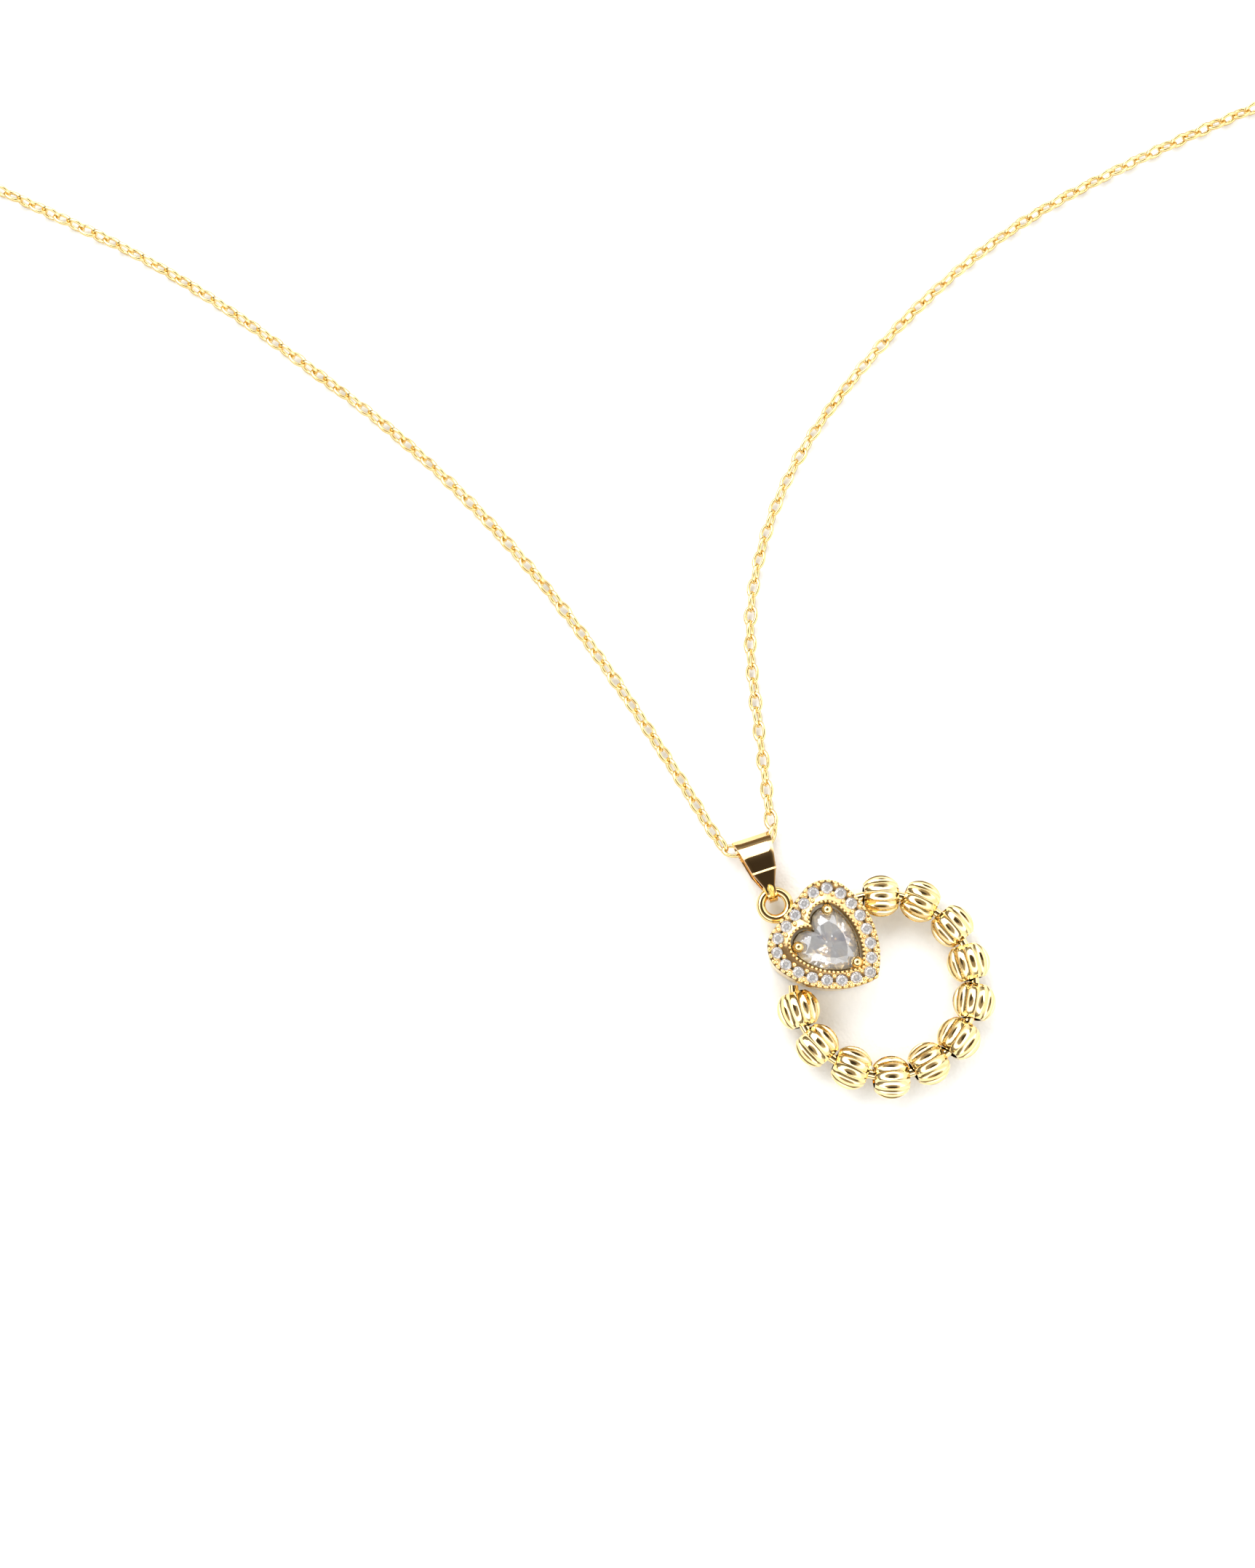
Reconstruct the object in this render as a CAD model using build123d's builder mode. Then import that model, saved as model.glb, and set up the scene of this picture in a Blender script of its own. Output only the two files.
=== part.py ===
"""Pendant necklace lying on a table: heart halo, ring of loose beads, bail, cable chain and clasp.

Millimetres, +Z up. The table is Z = 0 and the origin is under the middle of the pendant and its bail.
"""
import os
from math import asin, cos, degrees, pi, radians, sin, sqrt, tan

from build123d import *

# ---- ring of beads ----
RING_CENTER = (1.95, -2.00)
RING_RADIUS = 8.30  # centre line of the bead wire
WIRE_DIAMETER = 0.90
WIRE_START = 106.0  # both ends are trimmed at the heart's wall
WIRE_SWEEP = 285.0
BEAD_DIAMETER = 3.90
BEAD_HALF_LENGTH = 1.58  # from the middle to the flat round the hole
BEAD_BORE = 1.74
BEAD_COUNT = 11
FIRST_BEAD_ANGLE = 90.5
BEAD_PITCH_ANGLE = -25.4
BEAD_STAGGER = (-0.12, 0.18, 0.10, -0.24, 0.06, 0.00, -0.12, 0.18, -0.06, 0.06, -0.10)

# ---- heart halo: each lobe is (along the axis, off the axis, radius) ----
HEART_ORIGIN = (-6.25, 4.05)  # on the line of stones, at the cleft
HEART_ANGLE = -38.0
HALO_LOBE = (1.92, 2.25, 1.92)
HALO_TIP = 8.50
HALO_RIM = 0.78  # stone line to outer edge
HALO_TIP_FILLET = 1.20
WINDOW_LOBE = (2.50, 1.45, 1.55)
WINDOW_TIP = 7.60
PLATE_TOP = 4.10
PLATE_BOTTOM = 3.25
SKIRT_BOTTOM = 0.60
SKIRT_RECESS = 0.28
SKIRT_WALL = 0.40
GALLERY_BOTTOM = 1.30
GALLERY_TOP = 2.60
GALLERY_WIDTH = 1.70
GALLERY_SPOTS = (0.11, 0.35, 0.43, 0.57, 0.65, 0.89)  # along the skirt, from the cleft
STONE_COUNT = 20
STONE_DIAMETER = 1.06
STONE_SEAT = 0.60
STONE_PROFILE = ((0, -0.50), (0.53, -0.06), (0.53, 0), (0.31, 0.13), (0, 0.13))

# ---- centre setting and stone ----
STONE_LOBE = (2.62, 1.35, 1.37)
STONE_TIP = 7.30
STONE_MIDDLE = 4.00
GIRDLE_Z = 3.30
GIRDLE_THICKNESS = 0.16
TABLE_Z = 4.04
TABLE_SCALE = 0.60
KEEL_Z = 1.70
KEEL_SCALE = 0.12
BASKET_GROW = 0.10
BASKET_HOLE_LOBE = (2.75, 1.22, 1.25)
BASKET_HOLE_TIP = 6.85
BASKET_BOTTOM = 1.20
BASKET_TOP = 3.25
PRONG_BALLS = ((2.00, 2.18), (2.00, -2.18), (7.02, 0.0))
PRONG_POSTS = ((1.68, 2.61), (1.68, -2.61), (7.62, 0.0))
PRONG_BALL = 1.05
PRONG_BALL_Z = 4.16
PRONG_POST = 0.62

# ---- loop and bail ----
LOOP_CENTER = (-7.88, 5.40)
LOOP_RADIUS = 1.30
LOOP_WIRE = 0.87
LOOP_Z = 1.55
SOLDER_SPOT = (-0.70, 0.50)  # along the heart's axis, and radius
SOLDER_HEIGHT = 0.60
BAIL_ANGLE = -71.7  # from the chain towards the heart
BAIL_LENGTH = 3.95  # chain line to loop wire
BAIL_STRIP = 0.34
BAIL_NOSE = 1.25  # outer radius round the chain
BAIL_FOOT = 1.00  # outer radius round the loop's wire
BAIL_CREASE = (2.05, 2.62)  # from the chain line, and height
BAIL_CREASE_ROUND = 0.40
BAIL_HALF_WIDTHS = ((-1.40, 1.80), (2.05, 1.15), (3.60, 0.50), (5.20, 0.38))

# ---- chain ----
CHAIN_DIAMETER = 1.40
CHAIN_ROUTE = (
    (-28.2, 137.1, 1.75), (-37.5, 136.9, 0.7), (-50.0, 135.3, 0.7), (-63.5, 131.8, 0.7),
    (-77.5, 127.4, 0.7), (-90.5, 120.0, 0.7), (-99.0, 110.0, 0.7), (-101.8, 98.5, 0.7),
    (-98.3, 88.3, 0.7), (-90.5, 81.6, 0.7), (-80.3, 76.6, 0.7), (-70.6, 71.8, 0.7),
    (-60.9, 65.5, 0.7), (-52.7, 59.2, 0.7), (-44.8, 53.0, 0.7), (-36.9, 45.5, 0.7),
    (-29.1, 36.4, 0.7), (-23.2, 28.1, 0.7), (-18.6, 20.9, 0.7), (-15.3, 15.5, 0.7),
    (-13.2, 11.8, 0.8), (-12.3, 9.47, 1.25), (-6.99, 11.23, 1.25), (-7.6, 13.9, 0.8),
    (-8.4, 18.3, 0.7), (-9.3, 24.6, 0.7), (-9.95, 32.0, 0.7), (-9.0, 39.7, 0.7),
    (-5.6, 49.0, 0.7), (0.2, 57.9, 0.7), (8.0, 66.9, 0.7), (17.3, 75.0, 0.7),
    (27.9, 81.2, 0.7), (39.0, 86.7, 0.7), (49.5, 91.3, 0.7), (56.8, 98.0, 0.7),
    (59.3, 107.5, 0.7), (56.8, 117.8, 0.7), (49.0, 126.0, 0.7), (37.5, 131.5, 0.7),
    (24.5, 134.0, 0.7), (11.0, 136.0, 0.7), (-1.0, 137.1, 0.7), (-13.35, 137.1, 1.75),
)
CHAIN_RUN_SHARE = 0.45

# ---- clasp ----
CLASP_Y = 137.1
CLASP_Z = 1.75
CLASP_HOOK_X = -19.9
CLASP_OUTER = 2.40
CLASP_INNER = 1.60
CLASP_THICKNESS = 1.00
CHEEK_THICKNESS = 1.60
CHEEK_CIRCLE = (-1.85, 0.75, 1.55)
CLASP_EYE_REACH = 5.40
CLASP_EYE = (1.10, 0.65)
EYE_THICKNESS = 0.80
GAP_ANGLES = (36.0, 112.0)
SLOT_ANGLES = (96.0, 172.0)
SLOT_WIDTH = 0.90
LEVER_THICKNESS = 0.76
LEVER_BAND = (1.62, 2.30)
LEVER_ANGLES = (38.0, 128.0)
PIVOT_ANGLE = 128.0
PIVOT_RADIUS = 2.00
PIVOT_BOSS = 0.52
PIVOT_PIN = 0.56
PIVOT_PLAY = 0.05
LEVER_SWEEP = 3.10  # the hook's nose is cut to this radius round the pivot
NOSE_ANGLES = (5.0, 112.0)
THUMB_TAB = (92.0, 2.45, 0.36)
CLASP_SHOULDERS = ((0, 2.20), (-4.40, 0.90))
CLASP_NECK = ((-4.30, 0.80), (-5.40, 0.80))
CUT_BAND = (1.40, 3.60)  # radii that clear the hook's band on both sides
SPRING_SPOT = (157.0, 2.02)
SPRING_COIL = (0.26, 0.13)  # middle radius, wire
SPRING_TURNS = 4
RING_WIRE = 0.50
RING_MIDDLE = 1.20
RING_TILT = 55.0
END_RING_BORE = 1.50
END_RING_OUTER = 2.20
END_RING_THICKNESS = 0.50
END_RING_TILT = 44.0
END_RING_X = -17.45
END_LINK_X = -15.10


def level(x, y, z, angle=0.0):
    """A level plane at a height, turned about Z."""
    return Plane(origin=(x, y, z), x_dir=(cos(radians(angle)), sin(radians(angle)), 0), z_dir=(0, 0, 1))


def tilted(x, y, z, tilt):
    """A plane that holds the X direction and leans over about it."""
    return Plane(origin=(x, y, z), x_dir=(1, 0, 0), z_dir=(0, -sin(radians(tilt)), cos(radians(tilt))))


def polar(radius, angle):
    return (radius * cos(radians(angle)), radius * sin(radians(angle)))


def save(part, name):
    part.label = name
    export_step(part, f"parts/{name}.step")


def heart_plane(height):
    """Local X runs from the heart's cleft to its tip."""
    return level(*HEART_ORIGIN, height, HEART_ANGLE)


def grown(lobe, tip, grow):
    """A heart's lobe and tip after it is moved outwards all round by grow."""
    along, off, radius = lobe
    width = off + radius
    side = ((tip - along) ** 2 + width**2) / (2 * width)
    return (along, off, radius + grow), along + sqrt((side + grow) ** 2 - (side - width) ** 2)


def heart_half(lobe, tip, notched):
    """Half a heart's outline, from the cleft round the lobe to the tip, for the current BuildLine."""
    along, off, radius = lobe
    cleft_angle = 180.0
    if notched:
        cleft_angle = 180 + degrees(asin(off / radius))
    else:
        Line((along - radius, 0), (along - radius, off))
    CenterArc((along, off), radius, cleft_angle, 90 - cleft_angle)
    TangentArc((along, off + radius), (tip, 0), tangent=(1, 0))


def heart_face(lobe, tip, notched=True, round_tip=0.0):
    """A whole heart as a face, its cleft towards -X."""
    with BuildSketch() as face:
        with BuildLine():
            heart_half(lobe, tip, notched)
            mirror(about=Plane.XZ)
        make_face()
        if round_tip:
            fillet(face.vertices().sort_by(Axis.X)[-1], round_tip)
    return face.sketch


def heart_spots(lobe, tip, shares):
    """Points on a blunt heart's outline at shares of its length, from the cleft round to the cleft."""
    with BuildLine() as half:
        heart_half(lobe, tip, False)
    wire = half.wire()
    spots = []
    for share in shares:
        spot = wire @ (2 * min(share, 1 - share))
        spots.append((spot.X, spot.Y if share <= 0.5 else -spot.Y))
    return spots


def ring_wire(plane, radius, wire):
    """A round wire bent into a closed ring in the plane."""
    with BuildPart() as ring:
        with BuildSketch(Plane(origin=plane.origin, x_dir=plane.x_dir, z_dir=-plane.y_dir)):
            with Locations((radius, 0)):
                Circle(wire / 2)
        revolve(axis=Axis(plane.origin, plane.z_dir))
    return ring.part


os.makedirs("parts", exist_ok=True)

# ---- heart frame: plate with stone seats, skirt with open gallery, and the loop at the cleft ----
halo_lobe, halo_tip = grown(HALO_LOBE, HALO_TIP, HALO_RIM)
skirt_lobe, skirt_tip = grown(HALO_LOBE, HALO_TIP, HALO_RIM - SKIRT_RECESS)
hollow_lobe, hollow_tip = grown(HALO_LOBE, HALO_TIP, HALO_RIM - SKIRT_RECESS - SKIRT_WALL)
stone_spots = heart_spots(HALO_LOBE, HALO_TIP, [i / STONE_COUNT for i in range(STONE_COUNT)])
gallery_spots = heart_spots(skirt_lobe, skirt_tip, GALLERY_SPOTS)

with BuildPart() as heart_frame:
    with BuildSketch(heart_plane(PLATE_BOTTOM)):
        add(heart_face(halo_lobe, halo_tip, False, HALO_TIP_FILLET))
        add(heart_face(WINDOW_LOBE, WINDOW_TIP), mode=Mode.SUBTRACT)
    extrude(amount=PLATE_TOP - PLATE_BOTTOM)
    with BuildSketch(heart_plane(SKIRT_BOTTOM)):
        add(heart_face(skirt_lobe, skirt_tip, False, HALO_TIP_FILLET))
        add(heart_face(hollow_lobe, hollow_tip, False), mode=Mode.SUBTRACT)
    extrude(amount=PLATE_BOTTOM - SKIRT_BOTTOM)
    with BuildSketch(heart_plane(GALLERY_BOTTOM)):
        with Locations(*gallery_spots):
            Circle(GALLERY_WIDTH / 2)
    extrude(amount=GALLERY_TOP - GALLERY_BOTTOM, mode=Mode.SUBTRACT)
    with BuildSketch(heart_plane(PLATE_TOP - STONE_SEAT)):
        with Locations(*stone_spots):
            Circle(STONE_DIAMETER / 2)
    extrude(amount=STONE_SEAT, mode=Mode.SUBTRACT)
    add(ring_wire(level(*LOOP_CENTER, LOOP_Z), LOOP_RADIUS, LOOP_WIRE))
    with BuildSketch(heart_plane(LOOP_Z)):
        with Locations((SOLDER_SPOT[0], 0)):
            Circle(SOLDER_SPOT[1])
    extrude(amount=SOLDER_HEIGHT / 2, both=True)
save(heart_frame.part, "heart_frame")

# ---- round stones of the halo ----
with BuildPart() as stone_blank:
    with BuildSketch(Plane.XZ):
        with BuildLine():
            Polyline(*STONE_PROFILE, close=True)
        make_face()
    revolve(axis=Axis.Z)

for i, (along, off) in enumerate(stone_spots):
    seat = heart_plane(PLATE_TOP).location * Location((along, off, 0))
    save(stone_blank.part.moved(seat), f"halo_stone_{i + 1:02d}")

# ---- centre stone ----
with BuildPart() as heart_stone:
    with BuildSketch(heart_plane(GIRDLE_Z)) as girdle:
        add(heart_face(STONE_LOBE, STONE_TIP))
    extrude(amount=GIRDLE_THICKNESS)
    for girdle_z, far_z, share in (
        (GIRDLE_Z + GIRDLE_THICKNESS, TABLE_Z, TABLE_SCALE),
        (GIRDLE_Z, KEEL_Z, KEEL_SCALE),
    ):
        with BuildSketch(heart_plane(girdle_z)) as near:
            add(heart_face(STONE_LOBE, STONE_TIP))
        with BuildSketch(heart_plane(far_z)) as far:
            with Locations((STONE_MIDDLE * (1 - share), 0)):
                add(heart_face(tuple(share * size for size in STONE_LOBE), share * STONE_TIP))
        loft(sections=[near.sketch.face(), far.sketch.face()], ruled=True)
save(heart_stone.part, "heart_stone")

# ---- centre setting: basket and three ball prongs, cut to seat the stone ----
basket_lobe, basket_tip = grown(STONE_LOBE, STONE_TIP, BASKET_GROW)
with BuildPart() as heart_setting:
    with BuildSketch(heart_plane(BASKET_BOTTOM)):
        add(heart_face(basket_lobe, basket_tip))
        add(heart_face(BASKET_HOLE_LOBE, BASKET_HOLE_TIP), mode=Mode.SUBTRACT)
    extrude(amount=BASKET_TOP - BASKET_BOTTOM)
    with BuildSketch(heart_plane(BASKET_BOTTOM)):
        with Locations(*PRONG_POSTS):
            Circle(PRONG_POST / 2)
    extrude(amount=PRONG_BALL_Z - BASKET_BOTTOM)
    ball_level = heart_plane(PRONG_BALL_Z)
    for along, off in PRONG_BALLS:
        with Locations(ball_level.from_local_coords((along, off, 0))):
            Sphere(PRONG_BALL / 2)
    add(heart_frame.part, mode=Mode.SUBTRACT)
    add(heart_stone.part, mode=Mode.SUBTRACT)
save(heart_setting.part, "heart_setting")

# ---- wire of the bead ring, ends soldered to the heart's wall ----
with BuildPart() as bead_wire:
    hub = (*RING_CENTER, BEAD_DIAMETER / 2)
    radial = (*polar(1, WIRE_START), 0)
    with BuildSketch(Plane(origin=hub, x_dir=radial, z_dir=(*polar(1, WIRE_START - 90), 0))):
        with Locations((RING_RADIUS, 0)):
            Circle(WIRE_DIAMETER / 2)
    revolve(axis=Axis(hub, (0, 0, -1)), revolution_arc=WIRE_SWEEP)
    with BuildSketch(heart_plane(0)):
        add(heart_face(skirt_lobe, skirt_tip, False, HALO_TIP_FILLET))
    extrude(amount=PLATE_TOP, mode=Mode.SUBTRACT)
save(bead_wire.part, "bead_wire")

# ---- beads: turned balls with a straight bore, loose on the wire ----
with BuildPart() as bead_blank:
    Sphere(BEAD_DIAMETER / 2)
    Box(BEAD_DIAMETER, BEAD_DIAMETER, 2 * BEAD_HALF_LENGTH, mode=Mode.INTERSECT)
    Cylinder(BEAD_BORE / 2, BEAD_DIAMETER, mode=Mode.SUBTRACT)

for i in range(BEAD_COUNT):
    angle = FIRST_BEAD_ANGLE + i * BEAD_PITCH_ANGLE
    out = polar(RING_RADIUS + BEAD_STAGGER[i], angle)
    spot = (RING_CENTER[0] + out[0], RING_CENTER[1] + out[1], BEAD_DIAMETER / 2)
    on_wire = Plane(origin=spot, x_dir=(0, 0, 1), z_dir=(*polar(1, angle + 90), 0))
    save(bead_blank.part.moved(on_wire.location), f"bead_{i + 1:02d}")

# ---- bail: a tapered strip folded round the chain and the heart's loop ----
down = polar(1, BAIL_ANGLE)
loop_wire_spot = (LOOP_CENTER[0] - LOOP_RADIUS * down[0], LOOP_CENTER[1] - LOOP_RADIUS * down[1])
chain_spot = (loop_wire_spot[0] - BAIL_LENGTH * down[0], loop_wire_spot[1] - BAIL_LENGTH * down[1])


def bail_side(inset):
    """The bail seen from its side, pulled in by inset."""
    with BuildSketch() as side:
        with BuildLine():
            CenterArc((0, BAIL_NOSE), BAIL_NOSE - inset, 0, 360)
            CenterArc((BAIL_LENGTH, LOOP_Z), BAIL_FOOT - inset, 0, 360)
            CenterArc((BAIL_CREASE[0], BAIL_CREASE[1] - BAIL_CREASE_ROUND), BAIL_CREASE_ROUND - inset, 0, 360)
        make_hull()
    return side.sketch


with BuildPart() as bail:
    with BuildSketch(Plane(origin=(*chain_spot, 0), x_dir=(*down, 0), z_dir=(down[1], -down[0], 0))):
        add(bail_side(0))
        add(bail_side(BAIL_STRIP), mode=Mode.SUBTRACT)
    extrude(amount=BAIL_HALF_WIDTHS[0][1], both=True)
    with BuildSketch(level(*chain_spot, 0, BAIL_ANGLE)):
        with BuildLine():
            Polyline(*BAIL_HALF_WIDTHS, *((u, -w) for u, w in reversed(BAIL_HALF_WIDTHS)), close=True)
        make_face()
    extrude(amount=PLATE_TOP, mode=Mode.INTERSECT)
save(bail.part, "bail")

# ---- chain, as a plain tube through the bail ----
corners = [Vector(*point) for point in CHAIN_ROUTE]
runs = [end - start for start, end in zip(corners, corners[1:])]
turns = [first.get_angle(second) for first, second in zip(runs, runs[1:])]
radii = [
    CHAIN_RUN_SHARE * min(first.length, second.length) / tan(radians(turn / 2))
    for first, second, turn in zip(runs, runs[1:], turns)
]
with BuildPart() as chain:
    with BuildLine() as route:
        FilletPolyline(*corners, radius=radii)
    with BuildSketch(Plane(origin=corners[0], z_dir=runs[0])):
        Circle(CHAIN_DIAMETER / 2)
    sweep()
save(chain.part, "chain")
section = pi * CHAIN_DIAMETER**2 / 4
length = route.wire().length
print("chain radii", [round(radius, 1) for radius in radii])
print("chain runs", [round(run.length, 1) for run in runs])
print("chain length", round(length, 1), "volume", round(chain.part.volume, 2), round(section * length, 2))

# ---- clasp: hooked body with cheeks for the lever, and an eye ----
hook_spot = (CLASP_HOOK_X, CLASP_Y)
pivot = polar(PIVOT_RADIUS, PIVOT_ANGLE)


def sector(inner, outer, angles):
    """A band of a circle between two angles, as a face."""
    with BuildSketch() as band:
        with BuildLine():
            Polyline(
                (0, 0),
                polar(3 * outer, angles[0]),
                polar(3 * outer, (angles[0] + angles[1]) / 2),
                polar(3 * outer, angles[1]),
                close=True,
            )
        make_face()
        Circle(outer, mode=Mode.INTERSECT)
        Circle(inner, mode=Mode.SUBTRACT)
    return band.sketch


with BuildPart() as clasp_body:
    with BuildSketch(level(*hook_spot, CLASP_Z)):
        Circle(CLASP_OUTER)
        with BuildLine():
            Polyline(*CLASP_SHOULDERS, *((x, -y) for x, y in reversed(CLASP_SHOULDERS)), close=True)
        make_face()
        Circle(CLASP_INNER, mode=Mode.SUBTRACT)
    extrude(amount=CLASP_THICKNESS / 2, both=True)
    with BuildSketch(level(*hook_spot, CLASP_Z)):
        with Locations(CHEEK_CIRCLE[:2]):
            Circle(CHEEK_CIRCLE[2])
        Circle(CLASP_INNER, mode=Mode.SUBTRACT)
    extrude(amount=CHEEK_THICKNESS / 2, both=True)
    with BuildSketch(level(*hook_spot, CLASP_Z)):
        with Locations((-CLASP_EYE_REACH, 0)):
            Circle(CLASP_EYE[0])
        with BuildLine():
            Polyline(*CLASP_NECK, *((x, -y) for x, y in reversed(CLASP_NECK)), close=True)
        make_face()
    extrude(amount=EYE_THICKNESS / 2, both=True)
    with BuildSketch(level(*hook_spot, CLASP_Z)):
        with Locations((-CLASP_EYE_REACH, 0)):
            Circle(CLASP_EYE[1])
        add(sector(*CUT_BAND, GAP_ANGLES))
    extrude(amount=CHEEK_THICKNESS, both=True, mode=Mode.SUBTRACT)
    with BuildSketch(level(*hook_spot, CLASP_Z)):
        with Locations(pivot):
            Circle(LEVER_SWEEP)
        add(sector(*CUT_BAND, NOSE_ANGLES), mode=Mode.INTERSECT)
    extrude(amount=CHEEK_THICKNESS, both=True, mode=Mode.SUBTRACT)
    with BuildSketch(level(*hook_spot, CLASP_Z)):
        add(sector(*CUT_BAND, SLOT_ANGLES))
    extrude(amount=SLOT_WIDTH / 2, both=True, mode=Mode.SUBTRACT)
    with BuildSketch(level(*hook_spot, CLASP_Z)):
        with Locations(pivot):
            Circle(PIVOT_PIN / 2)
    extrude(amount=CHEEK_THICKNESS, both=True, mode=Mode.SUBTRACT)
save(clasp_body.part, "clasp_body")

with BuildPart() as clasp_lever:
    with BuildSketch(level(*hook_spot, CLASP_Z)):
        add(sector(*LEVER_BAND, LEVER_ANGLES))
        with Locations(pivot):
            Circle(PIVOT_BOSS)
        with Locations(polar(THUMB_TAB[1], THUMB_TAB[0])):
            Circle(THUMB_TAB[2])
        with Locations(pivot):
            Circle(PIVOT_PIN / 2 + PIVOT_PLAY, mode=Mode.SUBTRACT)
    extrude(amount=LEVER_THICKNESS / 2, both=True)
save(clasp_lever.part, "clasp_lever")

with BuildPart() as clasp_pin:
    with BuildSketch(level(*hook_spot, CLASP_Z)):
        with Locations(pivot):
            Circle(PIVOT_PIN / 2)
    extrude(amount=CHEEK_THICKNESS / 2, both=True)
save(clasp_pin.part, "clasp_pin")

spring_x, spring_y = polar(SPRING_SPOT[1], SPRING_SPOT[0])
with BuildPart() as clasp_spring:
    for turn in range(SPRING_TURNS):
        rise = (turn - (SPRING_TURNS - 1) / 2) * (SPRING_COIL[1] + 0.02)
        coil = level(CLASP_HOOK_X + spring_x, CLASP_Y + spring_y, CLASP_Z + rise)
        add(ring_wire(coil, *SPRING_COIL))
save(clasp_spring.part, "clasp_spring")

# ---- rings between the chain and the clasp ----
clasp_ring_x = CLASP_HOOK_X - CLASP_EYE_REACH - RING_MIDDLE
save(ring_wire(tilted(clasp_ring_x, CLASP_Y, CLASP_Z, RING_TILT), RING_MIDDLE, RING_WIRE), "clasp_ring")
save(ring_wire(tilted(END_LINK_X, CLASP_Y, CLASP_Z, -RING_TILT), RING_MIDDLE, RING_WIRE), "end_link")

with BuildPart() as end_ring:
    with BuildSketch(tilted(END_RING_X, CLASP_Y, CLASP_Z, END_RING_TILT)):
        Circle(END_RING_OUTER)
        Circle(END_RING_BORE, mode=Mode.SUBTRACT)
    extrude(amount=END_RING_THICKNESS / 2, both=True)
save(end_ring.part, "end_ring")
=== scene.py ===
"""Necklace with a heart-and-beads pendant: the finished look over its fixed metal frame.

Metres, +Z up, one frame with the metalwork. Run as a script; every piece has its own operator.
"""

from math import asin, atan2, ceil, cos, exp, pi, radians, sin, sqrt, tau

import bmesh
import bpy
from mathutils import Matrix, Vector, noise


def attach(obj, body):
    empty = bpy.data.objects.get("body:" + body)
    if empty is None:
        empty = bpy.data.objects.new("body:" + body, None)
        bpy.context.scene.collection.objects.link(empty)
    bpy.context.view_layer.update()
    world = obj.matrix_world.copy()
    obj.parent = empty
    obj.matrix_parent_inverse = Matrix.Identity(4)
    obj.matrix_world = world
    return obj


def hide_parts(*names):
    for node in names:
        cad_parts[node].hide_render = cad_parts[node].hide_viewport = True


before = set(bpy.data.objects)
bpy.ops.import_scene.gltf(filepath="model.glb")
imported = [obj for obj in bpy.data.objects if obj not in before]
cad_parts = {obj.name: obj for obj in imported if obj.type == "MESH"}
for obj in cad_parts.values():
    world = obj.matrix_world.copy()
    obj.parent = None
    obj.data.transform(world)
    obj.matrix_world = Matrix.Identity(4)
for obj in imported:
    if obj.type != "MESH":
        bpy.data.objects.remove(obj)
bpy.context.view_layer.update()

bl_info = {
    "name": "Heart and beads necklace",
    "version": (1, 0, 0),
    "blender": (4, 5, 0),
    "location": "3D View > Sidebar > Necklace",
    "description": "Makes the links, beads, stones and finishes of a pendant necklace on its metal frame",
    "category": "Object",
}

MM = 0.001
CAMERA_LENS = 45.08
CAMERA_SENSOR = 36.0
CAMERA_TILT = 13.0  # degrees from straight down
CAMERA_DISTANCE = 180.0 * MM
PICTURE_WIDTH = 1725
PICTURE_HEIGHT = 2156
RING_CENTER = Vector((1.95, -2.00, 1.95)) * MM
RING_IN_FRAME = (0.20430, -0.12768)  # of the frame's width and height, from its middle
RING_RADIUS = 8.30 * MM

HEART_ORIGIN = Vector((-6.25, 4.05, 0.0)) * MM
HEART_ANGLE = radians(-38.0)
HALO_LOBE = (1.92, 2.25, 1.92)
HALO_TIP = 8.50
WINDOW_LOBE = (2.50, 1.45, 1.55)
WINDOW_TIP = 7.60
STONE_LOBE = (2.62, 1.35, 1.37)
STONE_TIP = 7.30
STONE_MIDDLE = 4.0
STONE_FACETS = 12
TABLE = (0.60, 4.04)  # this and the next five: share of the outline, and height
CROWN_MIDDLE = (0.80, 3.82)
GIRDLE_TOP = (1.00, 3.46)
GIRDLE_FOOT = (1.00, 3.30)
PAVILION_MIDDLE = (0.50, 2.35)
KEEL = (0.12, 1.70)
STONE_COUNT = 20
PLATE_TOP = 4.10
RIM_TOP = 4.32
BRILLIANT_GIRDLE = 1.06
BRILLIANT_RINGS = (  # corners, share of the radius, height, turn in steps
    (8, 0.56, 0.13, 0.0), (8, 0.80, 0.075, 0.5), (16, 1.0, 0.0, 0.0), (16, 1.0, -0.05, 0.0),
    (8, 0.24, -0.40, 0.5),
)
BRILLIANT_POINT = -0.49
HALO_BLUNT = 8.75  # the tip is rounded off here, along the axis
HALO_EDGE = 0.76  # how far the halo reaches outside the line of its stones
RIM_LINE = 0.64
WINDOW_LINE = 0.13  # the inner edge's grains sit this far outside the window
PRONG_ASIDE = 0.42
PRONG_RISE = 0.15
SEAT_ROOM = 0.015
CHANNEL_SECTION = (  # share of the way from the outer edge to the window, and height
    (0.00, 4.02), (0.00, 4.25), (0.03, 4.31), (0.09, 4.33), (0.14, 4.31), (0.37, 4.11), (0.42, 4.11),
    (0.84, 4.29), (0.88, 4.33), (0.96, 4.33), (1.00, 4.27), (1.00, 4.02),
)

LOOP_CENTER = Vector((-7.88, 5.40)) * MM
BAIL_ANGLE = radians(-71.7)
BAIL_DOWN = Vector((cos(BAIL_ANGLE), sin(BAIL_ANGLE), 0.0))
BAIL_ACROSS = Vector((-sin(BAIL_ANGLE), cos(BAIL_ANGLE), 0.0))
BAIL_CIRCLES = ((-0.30, 1.30, 1.30), (3.95, 1.55, 1.00), (2.05, 2.44, 0.18))  # along, height, radius
BAIL_WIDTHS = ((-1.70, 1.90), (-1.40, 1.80), (2.05, 1.15), (3.60, 0.50), (5.20, 0.38))
BAIL_STRIP = 0.30
BAIL_CROWN = 0.10  # how fast its face falls away towards the chain
BAIL_CROWN_END = 1.2
CREASE_ALONG = 2.05
CREASE_RISE = 0.045
CREASE_SPREAD = 0.05
BAIL_HANG = 5.25 * MM  # from the chain's line down to the middle of the heart's loop
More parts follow.
